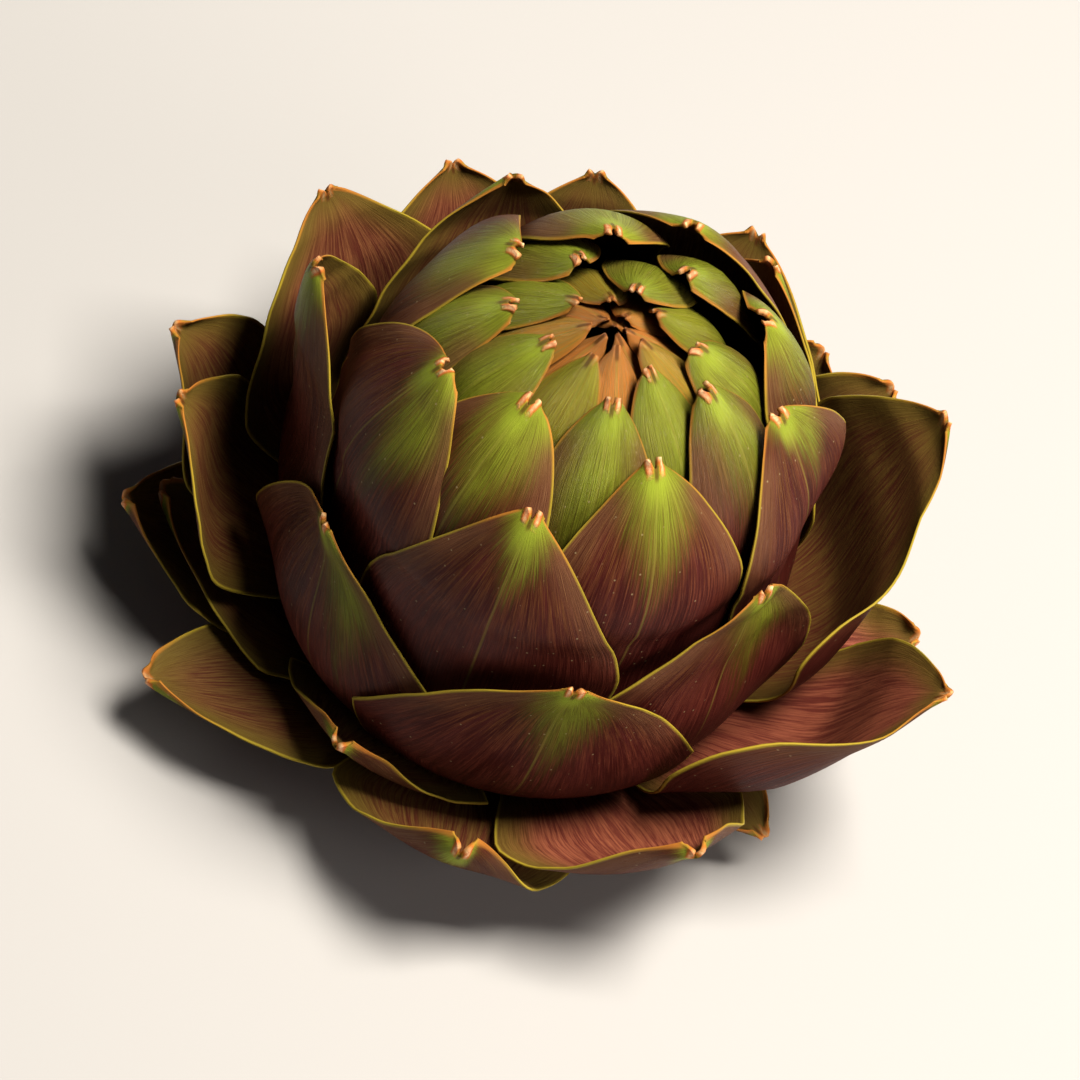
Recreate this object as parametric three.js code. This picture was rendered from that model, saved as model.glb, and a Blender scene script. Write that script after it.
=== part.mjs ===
// A globe artichoke head, cut from its plant with a short stub of stem.
// Overlapping leaf-like bracts stand in one golden-angle spiral round a fleshy heart: the outer
// ones are short and open, the middle ones wrap a round bud, the small inner ones close its crown.
// Millimetres, +Z up. The origin is the centre of the flat cut under the stem, the front is -Y.

import * as THREE from 'three';

const BRACT_COUNT = 58;
const STEM_RADIUS = 12.5;
const STEM_COLLAR_HEIGHT = 2.6;
const HEART_CLEARANCE = 0.7;
const HEART_DOME = 6;
const HEART_DOME_RINGS = [0.94, 0.5, 0];
const HEART_FIRST_BRACT = 2;
const HEART_BRACT_STEP = 11;
const HEART_SEGMENTS = 40;

// The bud: round above, bulging from one polar angle on, and flattened under its base.
// Polar angles are degrees down from the crown, seen from the bud's centre.
const BUD_RADIUS = 38;
const BUD_CENTRE_HEIGHT = 48;
const BULGE = { size: 9, from: 92, over: 38 };
const FLATTENING = { size: 4.5, from: 138, over: 24 };

// The spiral: bract 18 stands at the front, and each next one inwards is a golden angle further on.
const GOLDEN_ANGLE = 137.508;
const FRONT_BRACT = 18;
const FRONT_AZIMUTH = 15;
const SIDEWAYS_LEAN = 17;

// Every bract lies on a shell of its own, this much inside the one before it.
const LAYER_GAP = { side: 0.39, base: 0.31, from: 95, over: 45 };
const OUTSIDE_LAYERS = 18;

// Opening: bracts bend outwards above one polar angle, hardly at all in a closed zone at the front.
const BEND_POLAR = 142;
const BEND_RAMP = 30;
const CLOSED_AZIMUTH = -8;
const CLOSED_RAMP = 34;
const FRONT_OPENING = 26;

// Outline of a bract: a narrow claw at the heart and a blunt tip with a small notch.
const CLAW_SHARE = 0.42;
const CLAW_LENGTH = 30;
const TIP_HALF_WIDTH = 1.8;
const NOTCH_DEPTH = 1.4;

// Shape along a bract, as shares of its rise: where the edges cup, the tip flares and a curl starts.
const CUPPING_START = 0.5;
const CUPPING_RAMP = 0.4;
const FLARE_START = 0.8;
const FLARE_POWER = 1.5;
const CURL_START = 0.5;
const ARCH_FULL = 0.4;
const ARCH_FADE = 0.8;

// Thickness at the midrib: at the claw, along the blade and at the tip, and the shares of the rise
// at which the claw ends and the tip begins.
const CLAW_THICKNESS = 0.5;
const BLADE_THICKNESS = 1.1;
const TIP_THICKNESS = 0.75;
const MARGIN_THINNING = 0.66;
const CLAW_END = 0.4;
const TIP_START = 0.75;

// Mesh of a bract: rows along it, crowded towards the tip, and the step used to find its normals.
const ROWS = 11;
const ROW_CROWDING = 1.35;
const NORMAL_STEP = 0.004;

// Control points, [bract number, value].
const TIP_POLAR = [[0, 102], [5, 98], [10, 92], [14, 84], [18, 80], [21, 75], [23, 66], [26, 45], [29, 36],
  [31, 30], [34, 24], [39, 16.5], [44, 11], [50, 5], [57, 0.8]];
const ATTACH_POLAR = [[0, 157], [57, 134]];
const HALF_WIDTH = [[0, 15], [5, 20], [10, 22], [18, 25], [23, 23], [26, 21.5], [31, 18], [34, 14],
  [36, 10.5], [39, 9], [44, 7], [50, 5.7], [57, 4.6]];
const TIP_TAPER = [[0, 1.5], [19, 1.5], [21, 1.2], [23, 1.5], [27, 1.5], [29, 1.1], [31, 1.4], [33, 1.2],
  [36, 1.5], [57, 1.6]];
const TIP_ROUNDING = [[0, 0.7], [18, 0.8], [27, 0.8], [29, 0.56], [31, 0.75], [33, 0.58], [46, 0.58],
  [57, 0.5]];
const OPENING = [[0, 50], [4, 47], [8, 42], [12, 36], [15, 32], [17, 27], [20, 23], [22, 18.5], [24, 13],
  [26, 9.5], [28, 7.5], [31, 5.5], [34, 4.2], [39, 2.6], [44, 1.2], [50, 0], [57, 0]];
const ARCH = [[0, 0.6], [20, 1], [30, 1.8], [36, 2.8], [46, 2], [57, 0.9]];
const BARE_LENGTH = [[0, 40], [26, 40], [31, 34], [36, 25], [44, 20], [57, 14]];
const CUPPING = [[0, 2.5], [12, 2], [17, 0], [57, 0]];
const TIP_FLARE = [[0, 1.5], [28, 1], [34, 0], [40, -0.8], [48, -1], [57, -1.1]];
const CLOSED_LEFT = [[0, 4], [10, 26], [13, 37], [16, 42], [21, 54], [26, 68], [29, 74], [32, 104],
  [57, 120]];
const CLOSED_RIGHT = [[0, 4], [10, 26], [15, 44], [18, 61], [23, 76], [28, 96], [57, 100]];
const NOTCH_SHARE = [[0, 1], [34, 1], [48, 0.3], [57, 0.1]];
const SIZE = [[0, 1], [34, 1], [57, 0.4]];
const COLUMNS = [[0, 7], [44, 5], [57, 5]];

// Opening by side, [azimuth, share]: the right side is the loosest and the back the tightest.
const OPENING_BY_SIDE = [[-180, 0.75], [-120, 0.88], [-70, 0.9], [0, 0.95], [60, 1.05], [110, 1.1],
  [150, 0.9], [180, 0.75]];

// Bracts that stray from the spiral: shift of the whole bract, turn and reach of its tip, extra bend
// at its foot and curl of its upper half, all in degrees, its share of the width, and whether it is
// stiff, which is bent alike over its whole width.
const REGULAR = { shift: 0, turn: 0, reach: 0, bend: 0, curl: 0, width: 1, stiff: false };
const STRAYS = new Map([
  [0, { turn: -16, reach: -10, stiff: true }],
  [2, { turn: -4, reach: -20, width: 0.7 }],
  [3, { turn: 18, reach: -7, stiff: true }],
  [5, { turn: 2, reach: -10, bend: 22, curl: 30, width: 1.15 }],
  [7, { turn: 1, reach: -9, width: 0.85 }],
  [8, { turn: -21, reach: -16, width: 0.8, stiff: true }],
  [10, { turn: -4, reach: -6, curl: 6, stiff: true }],
  [11, { turn: 20, reach: 2, width: 0.7, stiff: true }],
  [12, { turn: 2, reach: -1 }],
  [13, { reach: -29, bend: 16, curl: 18, width: 1.2 }],
  [14, { turn: 14, reach: 1.5 }],
  [15, { turn: -2, reach: 6 }],
  [16, { shift: -14, turn: 16, reach: -5, width: 0.75, stiff: true }],
  [17, { turn: 4, reach: 2 }],
  [18, { shift: -5, turn: 5, reach: -1, bend: 2, width: 1.28 }],
  [19, { turn: 14, reach: 6 }],
  [20, { turn: 3.5, reach: 7.5 }],
  [21, { shift: 6, turn: -11, reach: -10, width: 1.22 }],
  [22, { turn: 9, reach: -2 }],
  [23, { turn: 4, reach: -4 }],
  [24, { turn: 9, reach: 3 }],
  [25, { turn: 8, reach: -9, bend: -4 }],
  [26, { turn: 3, reach: 1 }],
  [27, { turn: 5, reach: -16 }],
  [28, { shift: 7, turn: -11, width: 0.85 }],
  [29, { shift: -4, turn: 16, reach: 0.5, width: 1.12 }],
  [30, { turn: -2, reach: 5, bend: -1 }],
  [32, { turn: 6, reach: 1 }],
  [33, { turn: -2, reach: -4, bend: -1 }],
  [34, { turn: 6 }],
  [35, { turn: 6, reach: 7 }],
  [36, { shift: -4, turn: 9, reach: -1 }],
  [37, { turn: 2, reach: -4, bend: -0.9 }],
  [39, { turn: 6.5 }],
  [40, { reach: -1 }],
  [41, { turn: -4, reach: -2 }],
  [43, { turn: -7, reach: 7 }],
  [44, { turn: 7 }],
]);

function clamp(value, low, high) {
  return Math.min(Math.max(value, low), high);
}

function smooth(value) {
  const x = clamp(value, 0, 1);
  return x * x * (3 - 2 * x);
}

function wrapped(azimuth) {
  return ((azimuth + 180) % 360 + 360) % 360 - 180;
}

// Straight lines between control points, or eased steps when ease is given.
function along(points, x, ease = (share) => share) {
  if (x <= points[0][0]) {
    return points[0][1];
  }
  for (let k = 1; k < points.length; k += 1) {
    const [x0, y0] = points[k - 1];
    const [x1, y1] = points[k];
    if (x <= x1) {
      return y0 + (y1 - y0) * ease((x - x0) / (x1 - x0));
    }
  }
  return points[points.length - 1][1];
}

// Distance from the bud's centre of the shell that a bract lies on.
// The bract whose tip ends at a polar angle lies flush on the bud's outline there.
function shellRadius(bract, polar) {
  const bulge = BULGE.size * smooth((polar - BULGE.from) / BULGE.over);
  const outline = BUD_RADIUS + bulge - FLATTENING.size * smooth((polar - FLATTENING.from) / FLATTENING.over);
  const toBase = smooth((polar - LAYER_GAP.from) / LAYER_GAP.over);
  const gap = LAYER_GAP.side + (LAYER_GAP.base - LAYER_GAP.side) * toBase;
  const tips = TIP_POLAR.map(([number, tip]) => [tip, number]).reverse();
  const outermost = Math.max(along(tips, polar), OUTSIDE_LAYERS);
  return outline - gap * (bract - outermost);
}

// Azimuth is zero at the front, where the viewer stands, and grows to the viewer's right.
function opening(bract, azimuth) {
  const fromFront = wrapped(azimuth - CLOSED_AZIMUTH);
  const closed = along(fromFront < 0 ? CLOSED_LEFT : CLOSED_RIGHT, bract);
  const front = FRONT_OPENING * Math.max(0, 1 - bract / OUTSIDE_LAYERS);
  const side = along(OPENING, bract) * along(OPENING_BY_SIDE, wrapped(azimuth), smooth);
  return front + (side - front) * smooth((Math.abs(fromFront) - closed) / CLOSED_RAMP);
}

// What one bract's points have in common.
function bractForm(bract) {
  const traits = { ...REGULAR, ...STRAYS.get(bract) };
  const attach = along(ATTACH_POLAR, bract);
  const tip = along(TIP_POLAR, bract) - traits.reach;
  const waist = (attach + tip) / 2;
  const base = wrapped(FRONT_AZIMUTH - (bract - FRONT_BRACT) * GOLDEN_ANGLE + traits.shift);
  const drift = SIDEWAYS_LEAN * Math.sin(THREE.MathUtils.degToRad(base)) + traits.turn;
  const length = THREE.MathUtils.degToRad(attach - tip) * shellRadius(bract, waist);
  const fullWidth = along(HALF_WIDTH, bract) * traits.width;
  return { bract, traits, attach, tip, waist, base, drift, length, fullWidth };
}

// Half of the bract's width at a height along it.
function halfWidth(form, rise) {
  const toTip = (1 - rise) * form.length;
  const taperLength = along(TIP_TAPER, form.bract) * form.fullWidth;
  const rounding = along(TIP_ROUNDING, form.bract);
  const taper = Math.sin(Math.PI / 2 * clamp(toTip / taperLength, 0, 1)) ** rounding;
  const claw = CLAW_SHARE + (1 - CLAW_SHARE) * smooth((form.length - toTip) / CLAW_LENGTH);
  return Math.max(TIP_HALF_WIDTH * along(SIZE, form.bract), form.fullWidth * Math.min(taper, claw));
}

// Distance from the axis and height of a shell point, once the bract is bent out at its foot.
function bentPoint(form, shell, polar, azimuth) {
  const open = opening(form.bract, azimuth) + form.traits.bend;
  const bend = THREE.MathUtils.degToRad(open) * smooth((BEND_POLAR - polar) / BEND_RAMP);
  const down = THREE.MathUtils.degToRad(polar);
  const hingeDown = THREE.MathUtils.degToRad(BEND_POLAR);
  const hinge = shellRadius(form.bract, BEND_POLAR);
  const foot = new THREE.Vector2(hinge * Math.sin(hingeDown), hinge * Math.cos(hingeDown));
  const point = new THREE.Vector2(shell * Math.sin(down), shell * Math.cos(down));
  point.rotateAround(foot, -bend);
  return new THREE.Vector2(point.x, point.y + BUD_CENTRE_HEIGHT);
}

// A point of the outer face: rise runs from 0 at the heart to 1 at the tip, across from -1 to 1.
function facePoint(form, rise, across) {
  const { bract, traits } = form;
  const middle = form.attach + (form.tip - form.attach) * rise;
  const sideways = across * halfWidth(form, rise) / shellRadius(bract, middle);
  const down = THREE.MathUtils.degToRad(middle);
  const polar = THREE.MathUtils.radToDeg(Math.acos(Math.cos(sideways) * Math.cos(down)));
  const swing = THREE.MathUtils.radToDeg(Math.atan2(Math.sin(sideways), Math.cos(sideways) * Math.sin(down)));

  const bare = (1 - rise) * form.length / along(BARE_LENGTH, bract);
  const arch = along(ARCH, bract) * (1 - across * across) * (1 - smooth((bare - ARCH_FULL) / ARCH_FADE));
  const cupping = along(CUPPING, bract) * across * across * smooth((rise - CUPPING_START) / CUPPING_RAMP);
  const flare = along(TIP_FLARE, bract) * smooth((rise - FLARE_START) / (1 - FLARE_START)) ** FLARE_POWER;
  const shell = shellRadius(bract, polar) + arch - cupping + flare;

  const azimuth = form.base + form.drift * rise;
  const bendAzimuth = traits.stiff ? form.base + form.drift : azimuth + swing;
  const point = bentPoint(form, shell, polar, bendAzimuth);
  const waistShell = shellRadius(bract, form.waist);
  const waist = bentPoint(form, waistShell, form.waist, form.base + form.drift / 2);
  const curl = THREE.MathUtils.degToRad(traits.curl) * smooth((rise - CURL_START) / (1 - CURL_START));
  point.rotateAround(waist, curl);

  const closedOut = shell * Math.sin(THREE.MathUtils.degToRad(polar));
  const narrowed = point.x > closedOut ? swing * closedOut / point.x : swing;
  const angle = THREE.MathUtils.degToRad(azimuth + narrowed);
  return new THREE.Vector3(point.x * Math.sin(angle), -point.x * Math.cos(angle), point.y);
}

function faceNormal(form, rise, across) {
  const low = Math.max(rise - NORMAL_STEP, 0);
  const high = Math.min(rise + NORMAL_STEP, 1);
  const left = Math.max(across - NORMAL_STEP, -1);
  const right = Math.min(across + NORMAL_STEP, 1);
  const sideways = facePoint(form, rise, right).sub(facePoint(form, rise, left));
  const upwards = facePoint(form, high, across).sub(facePoint(form, low, across));
  return sideways.cross(upwards).normalize();
}

// Fleshy along the midrib, papery at the margins and where it is pressed against the heart.
function thickness(bract, rise, across) {
  const blade = CLAW_THICKNESS + (BLADE_THICKNESS - CLAW_THICKNESS) * smooth(rise / CLAW_END);
  const midrib = blade - (BLADE_THICKNESS - TIP_THICKNESS) * smooth((rise - TIP_START) / (1 - TIP_START));
  return along(SIZE, bract) * midrib * (1 - MARGIN_THINNING * across * across);
}

// One closed leaf: an outer face, an inner face set back by the thickness, and the rim between.
function bractGeometry(bract) {
  const form = bractForm(bract);
  const columns = Math.round(along(COLUMNS, bract));
  const outside = [];
  const inside = [];
  for (let row = 0; row < ROWS; row += 1) {
    const level = 1 - (1 - row / (ROWS - 1)) ** ROW_CROWDING;
    for (let column = 0; column < columns; column += 1) {
      const across = column / (columns - 1) * 2 - 1;
      const notched = row === ROWS - 1 && across === 0;
      const rise = notched ? 1 - NOTCH_DEPTH * along(NOTCH_SHARE, bract) / form.length : level;
      const outer = facePoint(form, rise, across);
      const inner = outer.clone();
      inner.addScaledVector(faceNormal(form, rise, across), -thickness(bract, rise, across));
      outside.push(...outer.toArray());
      inside.push(...inner.toArray());
    }
  }
  const half = ROWS * columns;
  const indices = [];
  for (let row = 0; row < ROWS - 1; row += 1) {
    for (let column = 0; column < columns - 1; column += 1) {
      const a = row * columns + column;
      const b = a + 1;
      const c = a + columns;
      const d = c + 1;
      indices.push(a, b, d, a, d, c);
      indices.push(half + a, half + d, half + b, half + a, half + c, half + d);
    }
  }
  const rim = [];
  for (let column = 0; column < columns - 1; column += 1) {
    rim.push(column);
  }
  for (let row = 0; row < ROWS - 1; row += 1) {
    rim.push(row * columns + columns - 1);
  }
  for (let column = columns - 1; column > 0; column -= 1) {
    rim.push((ROWS - 1) * columns + column);
  }
  for (let row = ROWS - 1; row > 0; row -= 1) {
    rim.push(row * columns);
  }
  rim.forEach((from, k) => {
    const to = rim[(k + 1) % rim.length];
    indices.push(to, from, half + from, to, half + from, half + to);
  });
  const geometry = new THREE.BufferGeometry();
  geometry.setAttribute('position', new THREE.Float32BufferAttribute([...outside, ...inside], 3));
  geometry.setIndex(indices);
  geometry.computeVertexNormals();
  return geometry;
}

// The heart: a turned body whose flank runs just inside the places where the bracts attach,
// with the cut stem under it and a shallow dome over it.
function heartGeometry() {
  const profile = [new THREE.Vector2(0, 0), new THREE.Vector2(STEM_RADIUS, 0)];
  profile.push(new THREE.Vector2(STEM_RADIUS, STEM_COLLAR_HEIGHT));
  for (let bract = HEART_FIRST_BRACT; bract < BRACT_COUNT; bract += HEART_BRACT_STEP) {
    const polar = along(ATTACH_POLAR, bract);
    const down = THREE.MathUtils.degToRad(polar);
    const shell = shellRadius(bract, polar);
    const out = shell * Math.sin(down) - HEART_CLEARANCE;
    profile.push(new THREE.Vector2(out, BUD_CENTRE_HEIGHT + shell * Math.cos(down)));
  }
  const shoulder = profile[profile.length - 1];
  for (const share of HEART_DOME_RINGS) {
    const rise = HEART_DOME * Math.sqrt(1 - share * share);
    profile.push(new THREE.Vector2(shoulder.x * share, shoulder.y + rise));
  }
  const geometry = new THREE.LatheGeometry(profile, HEART_SEGMENTS);
  geometry.rotateX(Math.PI / 2);
  return geometry;
}

function leafMaterial(colour) {
  return new THREE.MeshStandardMaterial({ color: colour, roughness: 0.55, metalness: 0 });
}

const RINGS = [
  { name: 'outer_bract', first: 0, last: 19, from: '#4a2a2c', to: '#55333a' },
  { name: 'middle_bract', first: 20, last: 35, from: '#563036', to: '#6d7034' },
  { name: 'crown_bract', first: 36, last: BRACT_COUNT - 1, from: '#7c8a3a', to: '#8a6a3c' },
];

const artichoke = new THREE.Group();
artichoke.name = 'artichoke';

const heart = new THREE.Mesh(heartGeometry(), leafMaterial('#b9bd86'));
heart.name = 'heart_and_stem';
artichoke.add(heart);

for (const ring of RINGS) {
  for (let bract = ring.first; bract <= ring.last; bract += 1) {
    const share = (bract - ring.first) / (ring.last - ring.first);
    const colour = new THREE.Color(ring.from).lerp(new THREE.Color(ring.to), share);
    const leaf = new THREE.Mesh(bractGeometry(bract), leafMaterial(colour));
    leaf.name = `${ring.name}_${String(bract - ring.first + 1).padStart(2, '0')}`;
    artichoke.add(leaf);
  }
}

export default artichoke;
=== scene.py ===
import math

import bpy
import numpy as np
from mathutils import Matrix, Vector


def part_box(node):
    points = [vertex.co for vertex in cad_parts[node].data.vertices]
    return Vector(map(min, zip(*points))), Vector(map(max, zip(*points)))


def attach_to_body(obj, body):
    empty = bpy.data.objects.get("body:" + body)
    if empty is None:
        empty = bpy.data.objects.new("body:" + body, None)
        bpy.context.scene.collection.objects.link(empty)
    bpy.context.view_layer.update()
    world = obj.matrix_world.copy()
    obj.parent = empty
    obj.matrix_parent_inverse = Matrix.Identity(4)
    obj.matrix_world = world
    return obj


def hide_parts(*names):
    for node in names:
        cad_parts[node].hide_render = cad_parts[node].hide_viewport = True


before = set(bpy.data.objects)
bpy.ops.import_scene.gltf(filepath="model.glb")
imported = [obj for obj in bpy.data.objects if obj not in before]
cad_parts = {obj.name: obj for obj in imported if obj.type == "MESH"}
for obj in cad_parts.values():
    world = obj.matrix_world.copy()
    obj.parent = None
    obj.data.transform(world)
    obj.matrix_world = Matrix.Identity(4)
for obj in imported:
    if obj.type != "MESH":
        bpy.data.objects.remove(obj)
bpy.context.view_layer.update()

# Heart and stem.
# The fleshy receptacle that every bract grows from, with the short stub of stem left under it.
# It is pale, fibrous flesh: the cut face shows the pith and a ring of vessels, the stub is ribbed.
MM = 0.001
STEM_RADIUS = 12.5
STEM_COLLAR = 2.6
STEM_RIBS = 22
RIB_DEPTH = 0.28
CUT_BEVEL = 0.5
STUB_RADIUS = 9
STUB_RADIUS_FADE = 3
STUB_TOP = 4.5
STUB_TOP_FADE = 1.5
RIND_INSIDE = 9.4
RIND_OUTSIDE = 12.2
VESSELS_INSIDE = 6.6
VESSELS_OUTSIDE = 9.4
VESSELS_FADE = 1.0
HEART_STEPS_ROUND = 176
FLESH_PALE = (0.56, 0.55, 0.30, 1)
FLESH_GREEN = (0.25, 0.28, 0.09, 1)
FLESH_BROWN = (0.22, 0.13, 0.05, 1)


def smooth(value):
    eased = np.clip(value, 0, 1)
    return eased * eased * (3 - 2 * eased)


def new_piece(name, points, faces, node):
    """A smooth mesh object in metres from points in millimetres, standing for one node of the frame."""
    mesh = bpy.data.meshes.new(name)
    mesh.from_pydata((np.asarray(points) * MM).tolist(), [], faces)
    mesh.polygons.foreach_set("use_smooth", [True] * len(mesh.polygons))
    mesh.update()
    piece = bpy.data.objects.new(name, mesh)
    bpy.context.scene.collection.objects.link(piece)
    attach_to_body(piece, "root")
    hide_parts(node)
    return piece


def new_material(name):
    material = bpy.data.materials.new(name)
    material.use_nodes = True
    tree = material.node_tree
    return material, tree, tree.nodes["Principled BSDF"]


def put(tree, socket, value):
    """Sets a socket, or links to it when the value is another node's output."""
    if isinstance(value, bpy.types.NodeSocket):
        tree.links.new(value, socket)
    else:
        socket.default_value = value


def calc(tree, operation, first, second=0.0):
    node = tree.nodes.new("ShaderNodeMath")
    node.operation = operation
    put(tree, node.inputs[0], first)
    put(tree, node.inputs[1], second)
    return node.outputs[0]


def ramp(tree, value, low, high, start=0.0, end=1.0):
    """Eases from start to end while the value goes from low to high."""
    node = tree.nodes.new("ShaderNodeMapRange")
    node.interpolation_type = "SMOOTHSTEP"
    for socket, number in zip(node.inputs, (value, low, high, start, end)):
        put(tree, socket, number)
    return node.outputs[0]


def mix(tree, share, first, second):
    node = tree.nodes.new("ShaderNodeMix")
    node.data_type = "RGBA"
    put(tree, node.inputs["Factor"], share)
    put(tree, node.inputs[6], first)
    put(tree, node.inputs[7], second)
    return node.outputs[2]


def noise(tree, vector, scale, detail=3.0, roughness=0.55):
    node = tree.nodes.new("ShaderNodeTexNoise")
    put(tree, node.inputs["Vector"], vector)
    node.inputs["Scale"].default_value = scale
    node.inputs["Detail"].default_value = detail
    node.inputs["Roughness"].default_value = roughness
    return node.outputs["Fac"]


def vector(tree, x, y, z):
    node = tree.nodes.new("ShaderNodeCombineXYZ")
    for socket, value in zip(node.inputs, (x, y, z)):
        put(tree, socket, value)
    return node.outputs[0]


def bump(tree, height, strength, distance):
    node = tree.nodes.new("ShaderNodeBump")
    node.inputs["Strength"].default_value = strength
    node.inputs["Distance"].default_value = distance
    put(tree, node.inputs["Height"], height)
    return node.outputs[0]


heart_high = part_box("heart_and_stem")[1]
heart_radius = heart_high[0] / MM
heart_height = heart_high[2] / MM
heart_profile = [
    (0, 0.35), (4.5, 0.3), (6.5, 0), (9.5, 0), (STEM_RADIUS - CUT_BEVEL, 0),
    (STEM_RADIUS - 0.12, 0.14), (STEM_RADIUS, CUT_BEVEL), (STEM_RADIUS, 1.6),
    (STEM_RADIUS + 0.1, STEM_COLLAR), (15.2, 3.2), (18.4, 4.6), (19.8, 7.0), (21.3, 9.6),
    (22.9, 13.5), (heart_radius - 0.3, 19.0), (heart_radius - 0.1, heart_height - 6.4),
    (heart_radius - 1.6, heart_height - 4.2), (heart_radius / 2, heart_height - 1),
    (heart_radius / 4, heart_height - 0.2), (0, heart_height),
]
turns = np.linspace(0, 2 * math.pi, HEART_STEPS_ROUND, endpoint=False)
heart_points = [(0, 0, heart_profile[0][1])]
for radius, height in heart_profile[1:-1]:
    on_stub = smooth((radius - STUB_RADIUS) / STUB_RADIUS_FADE) * smooth((STUB_TOP - height) / STUB_TOP_FADE)
    ribs = RIB_DEPTH * on_stub * np.cos(STEM_RIBS * turns) * smooth(height / CUT_BEVEL)
    ring = radius - np.abs(ribs)
    heart_points += list(zip(ring * np.cos(turns), ring * np.sin(turns), np.full_like(turns, height)))
heart_points.append((0, 0, heart_profile[-1][1]))
heart_faces = []
for step in range(HEART_STEPS_ROUND):
    after = (step + 1) % HEART_STEPS_ROUND
    heart_faces.append((0, 1 + after, 1 + step))
    for ring in range(len(heart_profile) - 3):
        low = 1 + ring * HEART_STEPS_ROUND
        high = low + HEART_STEPS_ROUND
        heart_faces.append((low + step, low + after, high + after, high + step))
    last = 1 + (len(heart_profile) - 3) * HEART_STEPS_ROUND
    heart_faces.append((last + step, last + after, len(heart_points) - 1))
heart = new_piece("heart_with_cut_stem", heart_points, heart_faces, "heart_and_stem")

flesh, tree, shader = new_material("heart_flesh")
place = tree.nodes.new("ShaderNodeTexCoord").outputs["Object"]
split = tree.nodes.new("ShaderNodeSeparateXYZ")
put(tree, split.inputs[0], place)
across_x, across_y, up = split.outputs
from_axis = calc(tree, "SQRT", calc(tree, "ADD", calc(tree, "MULTIPLY", across_x, across_x),
                                    calc(tree, "MULTIPLY", across_y, across_y)))
fibres = noise(tree, vector(tree, across_x, across_y, calc(tree, "MULTIPLY", up, 0.12)), 900, 4)
pits = noise(tree, place, 1500, 2)
rind = ramp(tree, from_axis, RIND_INSIDE * MM, RIND_OUTSIDE * MM)
vessels_start = ramp(tree, from_axis, VESSELS_INSIDE * MM, (VESSELS_INSIDE + VESSELS_FADE) * MM)
vessels_end = ramp(tree, from_axis, (VESSELS_OUTSIDE - VESSELS_FADE) * MM, VESSELS_OUTSIDE * MM, 1, 0)
vessels = calc(tree, "MULTIPLY", vessels_start, vessels_end)
browned = calc(tree, "MULTIPLY", vessels, ramp(tree, fibres, 0.5, 0.62))
cut_colour = mix(tree, browned, mix(tree, rind, FLESH_PALE, FLESH_GREEN), FLESH_BROWN)
skin_colour = mix(tree, ramp(tree, fibres, 0.4, 0.65), FLESH_GREEN, FLESH_PALE)
above_cut = ramp(tree, up, 0.2 * MM, 0.9 * MM)
put(tree, shader.inputs["Base Color"], mix(tree, above_cut, cut_colour, skin_colour))
put(tree, shader.inputs["Roughness"], ramp(tree, pits, 0.3, 0.7, 0.6, 0.8))
put(tree, shader.inputs["Normal"], bump(tree, calc(tree, "ADD", fibres, pits), 0.5, 0.4 * MM))
heart.data.materials.append(flesh)

# Outer bracts.
# The lowest leaf-like bracts, open and stiff, each grown from the heart on a narrow fleshy claw.
# The skin is dark wine purple with olive streaks, green under the notched tip, corky at its lips.
BRACT_COUNT = 58
BUD_RADIUS = 38
BUD_CENTRE = 48
BULGE = 9
BULGE_FROM = 92
BULGE_OVER = 38
FLATTENING = 4.5
FLATTENING_FROM = 138
FLATTENING_OVER = 24
GOLDEN_ANGLE = 137.508
FRONT_BRACT = 18
FRONT_AZIMUTH = 15
SIDEWAYS_LEAN = 17
LAYER_GAP_SIDE = 0.39
LAYER_GAP_BASE = 0.31
LAYER_GAP_FROM = 95
LAYER_GAP_OVER = 45
LEAST_RADIUS = 6
OUTSIDE_LAYERS = 18
BEND_POLAR = 142
BEND_RAMP = 30
CLOSED_AZIMUTH = -8
CLOSED_RAMP = 34
FRONT_OPENING = 26
CLAW_SHARE = 0.42
CLAW_LENGTH = 30
TIP_HALF = 1.8
NOTCH_DEPTH = 1.4
NOTCH_SHARE = 0.5
NOTCH_START = 0.72
LOBE_ROUND = 0.7
LOBE_START = 0.55
ROW_CROWDING = 1.5
CLAW_THICKNESS = 0.5
BLADE_THICKENING = 0.6
TIP_THINNING = 0.35
MARGIN_THINNING = 0.7
MARGIN_WAVES = (3.0, 5.5, 9.0)
WAVE_HEIGHT = 0.5
SWAY_HEIGHT = 0.22
LIP_HEIGHT = 0.12
LIP_THICKENING = 0.2
LIP_LENGTH = 2.2
LIP_PLACE = 0.9
LIP_WIDTH = 1.6
FULL_TURN = 6.3
SEED_STEP = 1.7

# Shape along a bract, as shares of its rise: where it arches, its edges cup, its tip flares and it curls.
ARCH_POWER = 1.8
ARCH_FULL = 0.4
ARCH_FADE = 0.8
CUPPING_START = 0.5
CUPPING_RAMP = 0.4
FLARE_START = 0.8
FLARE_POWER = 1.5
CURL_START = 0.5

# Control points, (bract number, value), with polar angles in degrees down from the crown.
TIP_POLAR = [(0, 102), (5, 98), (10, 92), (14, 84), (18, 80), (21, 75), (23, 66), (26, 45), (29, 36),
             (31, 30), (34, 24), (39, 16.5), (44, 11), (50, 5), (57, 0.8)]
ATTACH_POLAR = [(0, 157), (57, 134)]
HALF_WIDTH = [(0, 15), (5, 20), (10, 22), (18, 25), (23, 23), (26, 21.5), (31, 18), (34, 14), (36, 10.5),
              (39, 9), (44, 7), (50, 5.7), (57, 4.6)]
TIP_TAPER = [(0, 1.5), (19, 1.5), (21, 1.2), (23, 1.5), (27, 1.5), (29, 1.1), (31, 1.4), (33, 1.2),
             (36, 1.5), (57, 1.6)]
TIP_ROUNDING = [(0, 0.7), (18, 0.8), (27, 0.8), (29, 0.56), (31, 0.75), (33, 0.58), (46, 0.58), (57, 0.5)]
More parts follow.
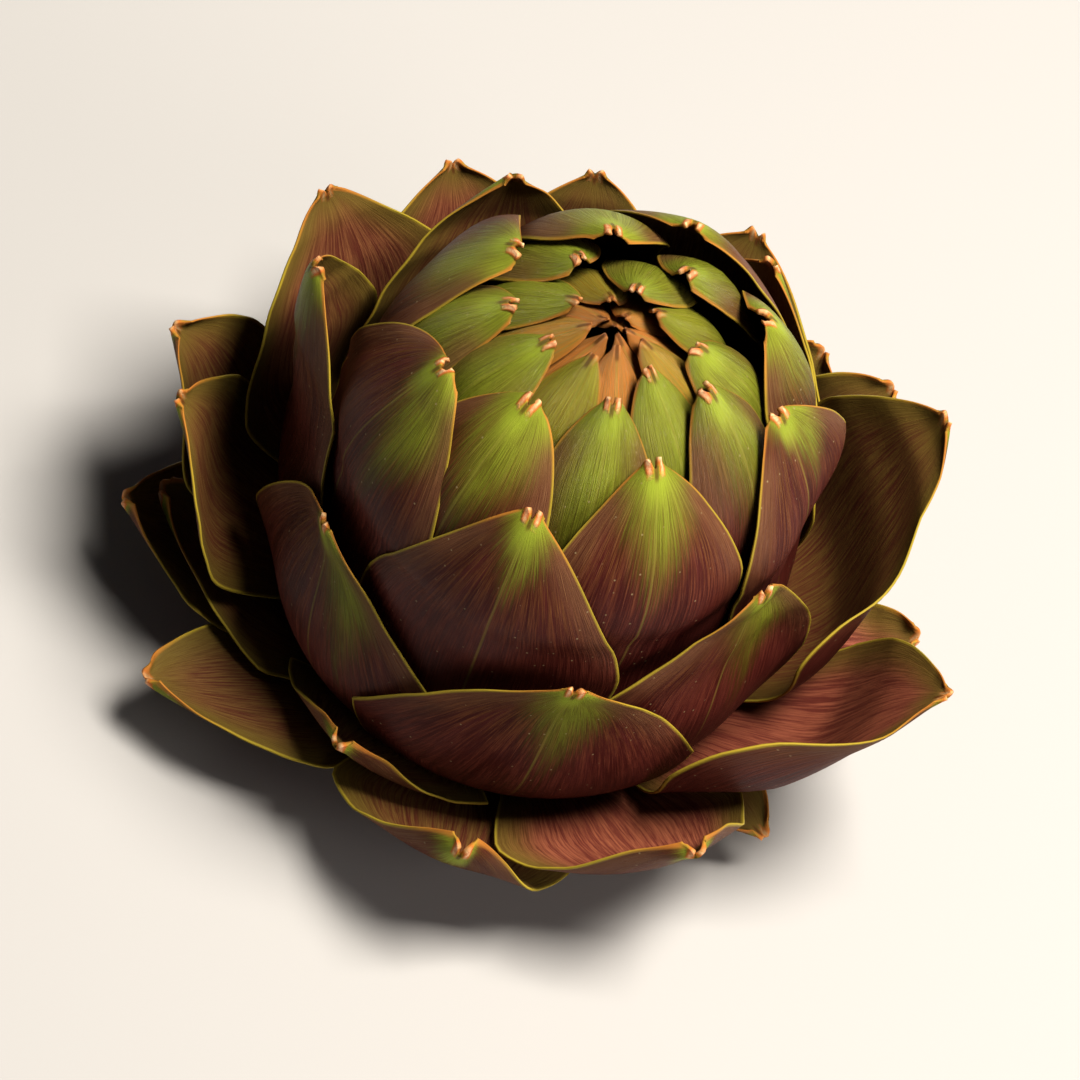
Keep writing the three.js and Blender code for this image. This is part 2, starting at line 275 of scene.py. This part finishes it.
OPENING = [(0, 50), (4, 47), (8, 42), (12, 36), (15, 32), (17, 27), (20, 23), (22, 18.5), (24, 13),
           (26, 9.5), (28, 7.5), (31, 5.5), (34, 4.2), (39, 2.6), (44, 1.2), (50, 0), (57, 0)]
ARCH = [(0, 0.6), (20, 1), (30, 1.8), (36, 2.8), (46, 2), (57, 0.9)]
BARE_LENGTH = [(0, 40), (26, 40), (31, 34), (36, 25), (44, 20), (57, 14)]
NOTCH_BY_BRACT = [(0, 1), (40, 1), (48, 0.3), (57, 0.1)]
CUPPING = [(0, 2.5), (12, 2), (17, 0), (57, 0)]
SIZE = [(0, 1), (34, 1), (57, 0.4)]
TIP_FLARE = [(0, 1.5), (28, 1), (34, 0), (40, -0.8), (48, -1), (57, -1.1)]
OPENING_BY_SIDE = [(-180, 0.75), (-120, 0.88), (-70, 0.9), (0, 0.95), (60, 1.05), (110, 1.1),
                   (150, 0.9), (180, 0.75)]
CLOSED_LEFT = [(0, 4), (10, 26), (13, 37), (16, 42), (21, 54), (26, 68), (29, 74), (32, 104), (57, 120)]
CLOSED_RIGHT = [(0, 4), (10, 26), (15, 44), (18, 61), (23, 76), (28, 96), (57, 100)]
# Bracts that stray from the spiral: shift of the whole bract, turn and reach of its tip, extra bend
# at its foot and curl of its upper half, all in degrees, its share of the width, and whether it is
# stiff, which is bent alike over its whole width.
REGULAR = {"shift": 0, "turn": 0, "reach": 0, "bend": 0, "curl": 0, "width": 1, "stiff": False}
STRAYS = {
    0: {"turn": -16, "reach": -10, "stiff": True},
    2: {"turn": -4, "reach": -20, "width": 0.7},
    3: {"turn": 18, "reach": -7, "stiff": True},
    5: {"turn": 2, "reach": -10, "bend": 22, "curl": 30, "width": 1.15},
    7: {"turn": 1, "reach": -9, "width": 0.85},
    8: {"turn": -21, "reach": -16, "width": 0.8, "stiff": True},
    10: {"turn": -4, "reach": -6, "curl": 6, "stiff": True},
    11: {"turn": 20, "reach": 2, "width": 0.7, "stiff": True},
    12: {"turn": 2, "reach": -1},
    13: {"reach": -29, "bend": 16, "curl": 18, "width": 1.2},
    14: {"turn": 14, "reach": 1.5},
    15: {"turn": -2, "reach": 6},
    16: {"shift": -14, "turn": 16, "reach": -5, "width": 0.75, "stiff": True},
    17: {"turn": 4, "reach": 2},
    18: {"shift": -5, "turn": 5, "reach": -1, "bend": 2, "width": 1.28},
    19: {"turn": 14, "reach": 6},
    20: {"turn": 3.5, "reach": 7.5},
    21: {"shift": 6, "turn": -11, "reach": -10, "width": 1.22},
    22: {"turn": 9, "reach": -2},
    23: {"turn": 4, "reach": -4},
    24: {"turn": 9, "reach": 3},
    25: {"turn": 8, "reach": -9, "bend": -4},
    26: {"turn": 3, "reach": 1},
    27: {"turn": 5, "reach": -16},
    28: {"shift": 7, "turn": -11, "width": 0.85},
    29: {"shift": -4, "turn": 16, "reach": 0.5, "width": 1.12},
    30: {"turn": -2, "reach": 5, "bend": -1},
    32: {"turn": 6, "reach": 1},
    33: {"turn": -2, "reach": -4, "bend": -1},
    34: {"turn": 6},
    35: {"turn": 6, "reach": 7},
    36: {"shift": -4, "turn": 9, "reach": -1},
    37: {"turn": 2, "reach": -4, "bend": -0.9},
    39: {"turn": 6.5},
    40: {"reach": -1},
    41: {"turn": -4, "reach": -2},
    43: {"turn": -7, "reach": 7},
    44: {"turn": 7},
}

# How far the green runs down from the tip and how far to the right of the midrib it lies, in mm, for
# the bracts whose green is plain to see. The others follow the control points.
GREEN_REACH = [(0, 8), (20, 11), (30, 22), (36, 32), (44, 60), (57, 60)]
GREEN_PATCHES = {
    18: (22, 2), 21: (22, 7), 23: (26, 6), 26: (13, 1), 28: (14, 3), 29: (21, 6), 31: (19, 1),
    34: (21, 1), 36: (28, 4), 37: (48, 1), 39: (36, -2), 42: (44, 0), 44: (70, 0),
}
# How rosy the inner face is, for the bracts that show it; the others are mostly olive.
ROSY = {7: 0.9, 10: 0.8, 12: 0.5, 14: 0.7, 15: 0.85, 19: 0.6, 20: 0.2, 24: 0.4}
PLAIN_ROSE = 0.3


def stray(bract, trait):
    return STRAYS.get(bract, REGULAR).get(trait, REGULAR[trait])


def along(points, place):
    return np.interp(place, [point[0] for point in points], [point[1] for point in points])


def wrapped(azimuth):
    return (azimuth + 180) % 360 - 180


def eased_along(points, place):
    value = np.full(np.shape(place), float(points[0][1]))
    for (start, low), (end, high) in zip(points, points[1:]):
        value = np.where(place >= start, low + (high - low) * smooth((place - start) / (end - start)), value)
    return value


def shell_radius(bract, polar):
    """Distance from the bud's centre of the shell that this bract lies on."""
    bulge = BULGE * smooth((polar - BULGE_FROM) / BULGE_OVER)
    bud = BUD_RADIUS + bulge - FLATTENING * smooth((polar - FLATTENING_FROM) / FLATTENING_OVER)
    to_base = smooth((polar - LAYER_GAP_FROM) / LAYER_GAP_OVER)
    gap = LAYER_GAP_SIDE + (LAYER_GAP_BASE - LAYER_GAP_SIDE) * to_base
    rising = [(tip, number) for number, tip in reversed(TIP_POLAR)]
    outermost = np.maximum(along(rising, polar), OUTSIDE_LAYERS)
    return bud - gap * (bract - outermost)


def opening(bract, azimuth):
    """How far a bract bends out at this azimuth: hardly at the front, most at the right."""
    turn = wrapped(azimuth)
    from_front = wrapped(turn - CLOSED_AZIMUTH)
    closed_half = np.where(from_front < 0, along(CLOSED_LEFT, bract), along(CLOSED_RIGHT, bract))
    front = FRONT_OPENING * max(0, 1 - bract / OUTSIDE_LAYERS)
    side = along(OPENING, bract) * eased_along(OPENING_BY_SIDE, turn)
    return front + (side - front) * smooth((np.abs(from_front) - closed_half) / CLOSED_RAMP)


def bract_ends(bract):
    attach = float(along(ATTACH_POLAR, bract))
    tip = float(along(TIP_POLAR, bract)) - stray(bract, "reach")
    length = math.radians(attach - tip) * float(shell_radius(bract, (attach + tip) / 2))
    return attach, tip, length


def half_width(bract, rise):
    """Half of the bract's width at each height: a narrow claw, a broad middle and a blunt tip."""
    length = bract_ends(bract)[2]
    full = float(along(HALF_WIDTH, bract)) * stray(bract, "width")
    to_tip = (1 - rise) * length
    tapering = np.clip(to_tip / (along(TIP_TAPER, bract) * full), 0, 1)
    taper = np.sin(np.pi / 2 * tapering) ** along(TIP_ROUNDING, bract)
    claw = CLAW_SHARE + (1 - CLAW_SHARE) * smooth((length - to_tip) / CLAW_LENGTH)
    return np.maximum(TIP_HALF * along(SIZE, bract), full * np.minimum(taper, claw))


def bent(bract, shell, polar, azimuth):
    """Bends a point of the closed bud outwards: its distance from the axis and its height."""
    full_bend = np.radians(opening(bract, azimuth) + stray(bract, "bend"))
    bend = full_bend * smooth((BEND_POLAR - polar) / BEND_RAMP)
    hinge = shell_radius(bract, BEND_POLAR)
    hinge_out = hinge * math.sin(math.radians(BEND_POLAR))
    hinge_up = hinge * math.cos(math.radians(BEND_POLAR))
    arm_out = shell * np.sin(np.radians(polar)) - hinge_out
    arm_up = shell * np.cos(np.radians(polar)) - hinge_up
    out = hinge_out + arm_out * np.cos(bend) + arm_up * np.sin(bend)
    return out, BUD_CENTRE + hinge_up - arm_out * np.sin(bend) + arm_up * np.cos(bend)


def bract_face(bract, rise, across):
    """Points of the outer face. Rise runs from 0 at the heart to 1 at the tip, across from -1 to 1."""
    attach, tip, length = bract_ends(bract)
    middle = attach + (tip - attach) * rise
    sideways = across * half_width(bract, rise) / np.maximum(shell_radius(bract, middle), LEAST_RADIUS)
    outward = np.cos(sideways) * np.sin(np.radians(middle))
    upward = np.cos(sideways) * np.cos(np.radians(middle))
    polar = np.degrees(np.arccos(np.clip(upward, -1, 1)))
    swing = np.degrees(np.arctan2(np.sin(sideways), outward))
    bare = (1 - rise) * length / along(BARE_LENGTH, bract)
    arched = 1 - smooth((bare - ARCH_FULL) / ARCH_FADE)
    arch = along(ARCH, bract) * (1 - np.abs(across) ** ARCH_POWER) * arched
    cupping = along(CUPPING, bract) * across ** 2 * smooth((rise - CUPPING_START) / CUPPING_RAMP)
    flare = along(TIP_FLARE, bract) * smooth((rise - FLARE_START) / (1 - FLARE_START)) ** FLARE_POWER
    shell = shell_radius(bract, polar) + arch - cupping + flare

    base = wrapped(FRONT_AZIMUTH - (bract - FRONT_BRACT) * GOLDEN_ANGLE + stray(bract, "shift"))
    drift = SIDEWAYS_LEAN * math.sin(math.radians(base)) + stray(bract, "turn")
    azimuth = base + drift * rise
    bend_azimuth = base + drift if stray(bract, "stiff") else azimuth + swing
    reach, height = bent(bract, shell, polar, bend_azimuth)
    waist = (attach + tip) / 2
    waist_out, waist_up = bent(bract, shell_radius(bract, waist), waist, base + drift / 2)
    curl = math.radians(stray(bract, "curl")) * smooth((rise - CURL_START) / (1 - CURL_START))
    arm_out = reach - waist_out
    arm_up = height - waist_up
    reach = waist_out + arm_out * np.cos(curl) - arm_up * np.sin(curl)
    height = waist_up + arm_out * np.sin(curl) + arm_up * np.cos(curl)
    closed_out = shell * np.sin(np.radians(polar))
    swing = np.where(reach > closed_out, swing * closed_out / np.maximum(reach, 0.01), swing)
    angle = np.radians(azimuth + swing)
    return np.stack([reach * np.sin(angle), -reach * np.cos(angle), height], axis=-1)


def grid_normals(points):
    sideways = np.gradient(points, axis=1)
    upwards = np.gradient(points, axis=0)
    normals = np.cross(sideways, upwards)
    return normals / np.maximum(np.linalg.norm(normals, axis=-1, keepdims=True), 1e-9)


def grid_shell(rows, columns):
    """Faces of an outer grid, an inner grid behind it, and the rim that joins their edges."""
    half = rows * columns
    faces = []
    for row in range(rows - 1):
        for column in range(columns - 1):
            corner = row * columns + column
            quad = (corner, corner + 1, corner + columns + 1, corner + columns)
            faces.append(quad)
            faces.append(tuple(half + index for index in reversed(quad)))
    bottom = list(range(columns - 1))
    right = [row * columns + columns - 1 for row in range(rows - 1)]
    top = [(rows - 1) * columns + column for column in range(columns - 1, 0, -1)]
    left = [row * columns for row in range(rows - 1, 0, -1)]
    rim = bottom + right + top + left
    for start, end in zip(rim, rim[1:] + rim[:1]):
        faces.append((end, start, half + start, half + end))
    return faces


INNER_FACE = np.array([0, 0, 1.0])


def mark(piece, name, values):
    """Keeps three values at every point of a piece, for its skin to read."""
    attribute = piece.data.attributes.new(name, "FLOAT_VECTOR", "POINT")
    attribute.data.foreach_set("vector", values.astype(np.float32).ravel())


def new_bract(bract, name, node, rows, columns, skin):
    """One bract as a closed leaf with a notched tip, corky lips, a keel and slightly wavy margins."""
    chance = np.random.default_rng(bract)
    length = bract_ends(bract)[2]
    tip_half = float(half_width(bract, np.array(1.0)))
    share = np.linspace(0, 1, rows)[:, None]
    across = np.sin(np.linspace(-1, 1, columns) * math.pi / 2)[None, :] * np.ones((rows, 1))
    size = float(along(SIZE, bract))
    from_middle = np.abs(across) * tip_half
    notch = size * float(along(NOTCH_BY_BRACT, bract))
    set_back = NOTCH_DEPTH * notch * np.clip(1 - from_middle / (NOTCH_SHARE * tip_half), 0, 1)
    set_back = set_back + LOBE_ROUND * size * smooth((np.abs(across) - LOBE_START) / (1 - LOBE_START))
    tip_rows = smooth((share - NOTCH_START) / (1 - NOTCH_START))
    to_tip = (1 - share) ** ROW_CROWDING * length + set_back * tip_rows
    rise = 1 - to_tip / length

    outer = bract_face(bract, rise, across)
    normals = grid_normals(outer)
    half = half_width(bract, rise)
    waves = np.zeros_like(rise)
    for cycles in MARGIN_WAVES:
        phase = chance.uniform(0, FULL_TURN)
        waves = waves + np.sin(cycles * rise * FULL_TURN + phase + np.sign(across) * 1.3) / cycles
    waves = waves * across ** 4 * smooth((rise - 0.35) / 0.3)
    sway = np.sin(2.2 * across + 5 * rise + chance.uniform(0, FULL_TURN)) * smooth((rise - 0.3) / 0.4)
    lips = np.exp(-(to_tip / (LIP_LENGTH * size)) ** 2) * smooth((rise - 0.9) / 0.08)
    lips = lips * np.exp(-((across * half / size - LIP_PLACE) / LIP_WIDTH) ** 2)
    push = size * (WAVE_HEIGHT * waves + SWAY_HEIGHT * sway + LIP_HEIGHT * lips)
    outer = outer + normals * push[..., None]
    thick = CLAW_THICKNESS + BLADE_THICKENING * smooth(rise / 0.4)
    thick = thick - TIP_THINNING * smooth((rise - 0.75) / 0.25)
    thick = size * (thick * (1 - MARGIN_THINNING * across ** 2) + LIP_THICKENING * lips)
    inner = outer - normals * thick[..., None]

    points = np.concatenate([outer.reshape(-1, 3), inner.reshape(-1, 3)])
    piece = new_piece(name, points, grid_shell(rows, columns), node)
    margin = (1 - np.abs(across)) * half
    to_notch = np.maximum(to_tip - set_back, 0)
    leaf = np.stack([across, rise, np.zeros_like(rise)], axis=-1).reshape(-1, 3)
    edge = np.stack([np.minimum(margin, to_notch), to_tip, across * half], axis=-1).reshape(-1, 3)
    patch = GREEN_PATCHES.get(bract, (float(along(GREEN_REACH, bract)), chance.uniform(-2, 4)))
    tone = (*patch, bract * SEED_STEP)
    growth = (size, bract / BRACT_COUNT, ROSY.get(bract, PLAIN_ROSE))
    mark(piece, "leaf", np.concatenate([leaf, leaf + INNER_FACE]))
    mark(piece, "edge", np.concatenate([edge, edge]))
    mark(piece, "tone", np.tile(tone, (len(points), 1)))
    mark(piece, "growth", np.tile(growth, (len(points), 1)))
    piece.data.materials.append(skin)


def marked(tree, name):
    attribute = tree.nodes.new("ShaderNodeAttribute")
    attribute.attribute_name = name
    parts = tree.nodes.new("ShaderNodeSeparateXYZ")
    put(tree, parts.inputs[0], attribute.outputs["Vector"])
    return parts.outputs


WINE = (0.052, 0.0065, 0.0055, 1)
PLUM = (0.120, 0.026, 0.021, 1)
RED_STREAK = (0.19, 0.046, 0.030, 1)
RED_FIBRE = (0.29, 0.085, 0.056, 1)
OLIVE_STREAK = (0.17, 0.078, 0.020, 1)
PALE_FIBRE = (0.42, 0.26, 0.115, 1)
DUSTY_BROWN = (0.19, 0.090, 0.045, 1)
LEAF_GREEN = (0.145, 0.165, 0.012, 1)
YOUNG_GREEN = (0.32, 0.39, 0.040, 1)
MIDRIB_OLIVE = (0.32, 0.30, 0.06, 1)
MARGIN_YELLOW = (0.42, 0.33, 0.040, 1)
MARGIN_ORANGE = (0.50, 0.20, 0.04, 1)
CORK_ORANGE = (0.60, 0.17, 0.040, 1)
# The next colour is partly pale cork, partly a painted highlight on the crests of the cork ridges.
CORK_CREAM_HIGHLIGHT = (0.88, 0.58, 0.34, 1)
# The next colour is painted shade, for the shadow in the notch at a bract's tip.
NOTCH_SHADE = (0.10, 0.025, 0.010, 1)
RIPE_TAN = (0.36, 0.18, 0.055, 1)
RIPE_ORANGE = (0.58, 0.21, 0.05, 1)
INNER_ROSE = (0.34, 0.105, 0.070, 1)
INNER_OLIVE = (0.18, 0.135, 0.028, 1)
SPECK = (0.40, 0.32, 0.18, 1)
# Streaks and hairs run in fans: how often across a bract and along it. The green spreads sideways by
# one factor and frays by so many millimetres; the cork ridges stand either side of the midrib.
STREAK_FAN = (9, 1.1)
HAIR_FAN = (24, 2.2)
BROAD_FAN = 2.2
GREEN_SIDEWAYS = 2.2
GREEN_FRAYING = 24
RIDGE_PLACE = 0.85
RIDGE_FRAYING = 2.5


def fan(tree, across, rise, seed, often_across, often_along):
    return vector(tree, calc(tree, "MULTIPLY", across, often_across),
                  calc(tree, "MULTIPLY", rise, often_along), seed)


def bract_skin(name, gloss):
    """Skin of a bract: streaks that fan from the claw, a green tip, pale margins and corky lips."""
    material, tree, shader = new_material(name)
    across, rise, inside = marked(tree, "leaf")
    margin, to_tip, from_midrib = marked(tree, "edge")
    green_reach, green_side, seed = marked(tree, "tone")
    size, age, rosiness = marked(tree, "growth")
    off_midrib = calc(tree, "ABSOLUTE", from_midrib)
    from_notch = calc(tree, "SQRT", calc(tree, "ADD", calc(tree, "MULTIPLY", to_tip, to_tip),
                                         calc(tree, "MULTIPLY", from_midrib, from_midrib)))

    fine = noise(tree, fan(tree, across, rise, seed, *STREAK_FAN), 5.5, 5, 0.65)
    broad = noise(tree, fan(tree, across, rise, seed, BROAD_FAN, 1), 2.6, 3)
    hair = noise(tree, fan(tree, across, rise, seed, *HAIR_FAN), 5, 4, 0.65)
    spread = vector(tree, from_midrib, to_tip, seed)
    grain = noise(tree, spread, 1.6, 3, 0.6)

    low = ramp(tree, to_tip, 6, 26)
    purple = mix(tree, ramp(tree, broad, 0.35, 0.7), WINE, PLUM)
    streak = mix(tree, low, OLIVE_STREAK, RED_STREAK)
    streaked = mix(tree, ramp(tree, fine, 0.42, 0.62, 0, 0.8), purple, streak)
    strayed = calc(tree, "MULTIPLY", calc(tree, "SUBTRACT", fine, 0.5), GREEN_FRAYING)
    off_green = calc(tree, "ABSOLUTE", calc(tree, "SUBTRACT", from_midrib, green_side))
    green_place = calc(tree, "ADD", to_tip, calc(tree, "MULTIPLY", off_green, GREEN_SIDEWAYS))
    green_place = calc(tree, "ADD", green_place, strayed)
    green_share = ramp(tree, calc(tree, "DIVIDE", green_place, green_reach), 0.3, 1.35, 0.95, 0)
    green = mix(tree, ramp(tree, to_tip, 2, 22, 0.7, 0.1), LEAF_GREEN, YOUNG_GREEN)
    outer = mix(tree, green_share, streaked, green)
    shoulder = calc(tree, "MULTIPLY", ramp(tree, margin, 1, 7, 0.8, 0), ramp(tree, to_tip, 8, 34, 1, 0))
    shoulder = calc(tree, "MULTIPLY", shoulder, ramp(tree, from_notch, 3, 9))
    shoulder = calc(tree, "MULTIPLY", shoulder, ramp(tree, age, 0.66, 0.78, 1, 0.25))
    outer = mix(tree, shoulder, outer, DUSTY_BROWN)
    # Darker wine towards the base: partly the bract's own deep maroon there, partly painted shade where the
    # bracts outside cover it.
    outer = mix(tree, ramp(tree, to_tip, 12, 40, 0, 0.65), outer, WINE)
    outer = mix(tree, ramp(tree, hair, 0.36, 0.58, 0.55, 0), outer, WINE)
    outer = mix(tree, ramp(tree, hair, 0.56, 0.76, 0, 0.4), outer, mix(tree, low, PALE_FIBRE, RED_FIBRE))
    ripe = calc(tree, "MULTIPLY", ramp(tree, age, 0.77, 0.92), ramp(tree, from_notch, 5, 16, 0.95, 0.2))
    outer = mix(tree, ripe, outer, mix(tree, ramp(tree, fine, 0.42, 0.6), RIPE_ORANGE, RIPE_TAN))
    midrib = calc(tree, "MULTIPLY", ramp(tree, off_midrib, 0.06, 0.3, 0.3, 0), ramp(tree, rise, 0.3, 0.6))
    outer = mix(tree, midrib, outer, MIDRIB_OLIVE)
    cells = tree.nodes.new("ShaderNodeTexVoronoi")
    put(tree, cells.inputs["Vector"], spread)
    cells.inputs["Scale"].default_value = 0.6
    chosen = tree.nodes.new("ShaderNodeSeparateColor")
    put(tree, chosen.inputs[0], cells.outputs["Color"])
    specks = calc(tree, "MULTIPLY", ramp(tree, cells.outputs["Distance"], 0.05, 0.12, 0.6, 0),
                  ramp(tree, chosen.outputs[0], 0.4, 0.45))
    outer = mix(tree, specks, outer, SPECK)

    blade = mix(tree, rosiness, INNER_OLIVE, INNER_ROSE)
    rose = mix(tree, ramp(tree, fine, 0.4, 0.62, 0, 0.8), blade, PLUM)
    inner = mix(tree, ramp(tree, margin, 1, 8, 0.85, 0), rose, INNER_OLIVE)
    inner = mix(tree, ramp(tree, hair, 0.36, 0.6, 0.4, 0), inner, WINE)
    # Darker wine towards the base of the inner face: partly its own maroon, partly painted shade where the
    # next bract inward lies against it.
    inner = mix(tree, ramp(tree, to_tip, 14, 44, 0, 0.4), inner, WINE)
    skin = mix(tree, inside, outer, inner)

    edge_colour = mix(tree, ramp(tree, from_notch, 3, 14, 1, 0), MARGIN_YELLOW, MARGIN_ORANGE)
    skin = mix(tree, ramp(tree, margin, 0.12, 0.65, 0.85, 0), skin, edge_colour)

    near_tip = calc(tree, "DIVIDE", to_tip, size)
    from_ridge = calc(tree, "SUBTRACT", calc(tree, "DIVIDE", off_midrib, size), RIDGE_PLACE)
    from_ridge = calc(tree, "ABSOLUTE", from_ridge)
    outside = calc(tree, "SUBTRACT", ramp(tree, age, 0.7, 0.8, 1, 0), inside)
    below_lips = calc(tree, "MULTIPLY", ramp(tree, near_tip, 3, 8, 0.8, 0),
                      ramp(tree, off_midrib, 0.6, 2.4, 1, 0))
    below_lips = calc(tree, "MAXIMUM", calc(tree, "MULTIPLY", below_lips, outside), 0)
    skin = mix(tree, below_lips, skin, YOUNG_GREEN)
    frayed = calc(tree, "MULTIPLY", calc(tree, "SUBTRACT", grain, 0.5), RIDGE_FRAYING)
    ragged = calc(tree, "ADD", near_tip, frayed)
    ridge = calc(tree, "MULTIPLY", ramp(tree, from_ridge, 0.3, 0.65, 1, 0),
                 ramp(tree, ragged, 1.2, 2.6, 1, 0))
    # The cork ridges are cream along their crests and orange on their flanks: the cream is partly pale cork,
    # partly a painted highlight.
    cork = mix(tree, ramp(tree, from_ridge, 0.05, 0.4), CORK_CREAM_HIGHLIGHT, CORK_ORANGE)
    cork = mix(tree, ramp(tree, grain, 0.42, 0.6, 0.55, 0), cork, CORK_ORANGE)
    ridge = calc(tree, "MULTIPLY", ridge, ramp(tree, age, 0.74, 0.82, 1, 0.2))
    ridge = calc(tree, "MULTIPLY", ridge, ramp(tree, inside, 0, 1, 1, 0.4))
    skin = mix(tree, ridge, skin, cork)
    # Painted shade: the notch between the two cork ridges at the tip is darkened to stand for the shadow in
    # it.
    notch = calc(tree, "MULTIPLY", ramp(tree, off_midrib, 0.15, 0.4, 0.7, 0),
                 ramp(tree, near_tip, 2.2, 3.2, 1, 0))
    put(tree, shader.inputs["Base Color"], mix(tree, notch, skin, NOTCH_SHADE))

    rough = ramp(tree, fine, 0.3, 0.7, 0.42 - 0.4 * gloss, 0.54 - 0.4 * gloss)
    put(tree, shader.inputs["Roughness"], calc(tree, "ADD", rough, calc(tree, "MULTIPLY", ridge, 0.25)))
    shader.inputs["Specular IOR Level"].default_value = gloss
    relief = calc(tree, "ADD", calc(tree, "MULTIPLY", fine, 0.8), calc(tree, "MULTIPLY", hair, 0.5))
    relief = calc(tree, "ADD", relief, calc(tree, "MULTIPLY", grain, 0.2))
    relief = calc(tree, "ADD", relief, calc(tree, "MULTIPLY", ridge, 1.2))
    put(tree, shader.inputs["Normal"], bump(tree, relief, 0.4 + 0.8 * gloss, 0.35 * MM))
    return material


OUTER_COUNT = 20
OUTER_GLOSS = 0.08
OUTER_ROWS = 38
OUTER_COLUMNS = 25
outer_skin = bract_skin("outer_bract_skin", OUTER_GLOSS)
for bract in range(OUTER_COUNT):
    name = f"outer_bract_{bract + 1:02d}"
    new_bract(bract, f"{name}_leaf", name, OUTER_ROWS, OUTER_COLUMNS, outer_skin)

# Middle bracts.
# The large overlapping bracts that wrap the round bud, pressed together in layers round the heart.
# Thick at the midrib and papery at the margin; purple below, and greener towards the tip and inwards.
FIRST_CROWN_BRACT = 36
MIDDLE_GLOSS = 0.12
MIDDLE_ROWS = 44
MIDDLE_COLUMNS = 25
middle_skin = bract_skin("middle_bract_skin", MIDDLE_GLOSS)
for bract in range(OUTER_COUNT, FIRST_CROWN_BRACT):
    name = f"middle_bract_{bract - OUTER_COUNT + 1:02d}"
    new_bract(bract, f"{name}_leaf", name, MIDDLE_ROWS, MIDDLE_COLUMNS, middle_skin)

# Crown bracts.
# The small young bracts that close over the top of the bud, tips together and a little sunken.
# Fresh green and tender, with blunt corky tips browned to orange where they meet.
CROWN_GLOSS = 0.45
CROWN_ROWS = 40
CROWN_COLUMNS = 15
crown_skin = bract_skin("crown_bract_skin", CROWN_GLOSS)
for bract in range(FIRST_CROWN_BRACT, BRACT_COUNT):
    name = f"crown_bract_{bract - FIRST_CROWN_BRACT + 1:02d}"
    new_bract(bract, f"{name}_leaf", name, CROWN_ROWS, CROWN_COLUMNS, crown_skin)

# Studio.
# A plain pale floor under the cut stem, a large soft key light from above and a weak one from the right.
# The camera looks down at the head at 55 degrees and is rolled so that the head leans to the right.
CAMERA_ELEVATION = 55
CAMERA_ROLL = 20
CAMERA_DISTANCE = 1.6
FRAME_WIDTH = 0.154
AIM_RIGHT = -0.0106
AIM_UP = -0.030
SENSOR_WIDTH = 36
FLOOR_SIZE = 4.0
FLOOR_GREY = (0.47, 0.47, 0.48, 1)
KEY_LIGHT = {"place": (0.30, 0.08, 1.0), "watts": 19, "size": 0.4, "colour": (1.0, 0.93, 0.82)}
SIDE_LIGHT = {"place": (0.85, -0.35, 0.4), "watts": 3.0, "size": 0.5, "colour": (1.0, 0.92, 0.84)}
HEAD_MIDDLE = (0, 0, 0.045)
ROOM_COLOUR = (0.9, 0.92, 0.95, 1)
ROOM_LIGHT = 0.03
EXPOSURE = 0.25
GAMMA = 0.88

floor_mesh = bpy.data.meshes.new("floor")
reach = FLOOR_SIZE / 2
floor_mesh.from_pydata([(-reach, -reach, 0), (reach, -reach, 0), (reach, reach, 0), (-reach, reach, 0)], [],
                       [(0, 1, 2, 3)])
floor = bpy.data.objects.new("floor", floor_mesh)
bpy.context.scene.collection.objects.link(floor)
floor_paint, tree, shader = new_material("floor_paint")
shader.inputs["Base Color"].default_value = FLOOR_GREY
shader.inputs["Roughness"].default_value = 0.9
floor_mesh.materials.append(floor_paint)


def soft_light(name, place, watts, size, colour):
    lamp = bpy.data.lights.new(name, "AREA")
    lamp.energy = watts
    lamp.size = size
    lamp.color = colour
    holder = bpy.data.objects.new(name, lamp)
    bpy.context.scene.collection.objects.link(holder)
    holder.location = place
    holder.rotation_euler = (Vector(HEAD_MIDDLE) - Vector(place)).to_track_quat("-Z", "Y").to_euler()


soft_light("key_light", **KEY_LIGHT)
soft_light("side_light", **SIDE_LIGHT)
bpy.context.scene.view_settings.view_transform = "Standard"
bpy.context.scene.view_settings.exposure = EXPOSURE
bpy.context.scene.view_settings.gamma = GAMMA
world = bpy.data.worlds.new("studio")
bpy.context.scene.world = world
world.use_nodes = True
room = world.node_tree.nodes["Background"]
room.inputs["Color"].default_value = ROOM_COLOUR
room.inputs["Strength"].default_value = ROOM_LIGHT

elevation = math.radians(CAMERA_ELEVATION)
to_camera = Vector((0, -math.cos(elevation), math.sin(elevation)))
level = (-to_camera).to_track_quat("-Z", "Y").to_matrix()
facing = level @ Matrix.Rotation(math.radians(CAMERA_ROLL), 3, "Z")
crown = Vector((0, 0, (BUD_CENTRE + BUD_RADIUS) * MM))
aim = crown + facing @ Vector((AIM_RIGHT, AIM_UP, 0))
lens = bpy.data.cameras.new("camera")
lens.sensor_width = SENSOR_WIDTH
lens.lens = lens.sensor_width * CAMERA_DISTANCE / FRAME_WIDTH
camera = bpy.data.objects.new("camera", lens)
camera.matrix_world = Matrix.Translation(aim + to_camera * CAMERA_DISTANCE) @ facing.to_4x4()
bpy.context.scene.collection.objects.link(camera)
bpy.context.scene.camera = camera
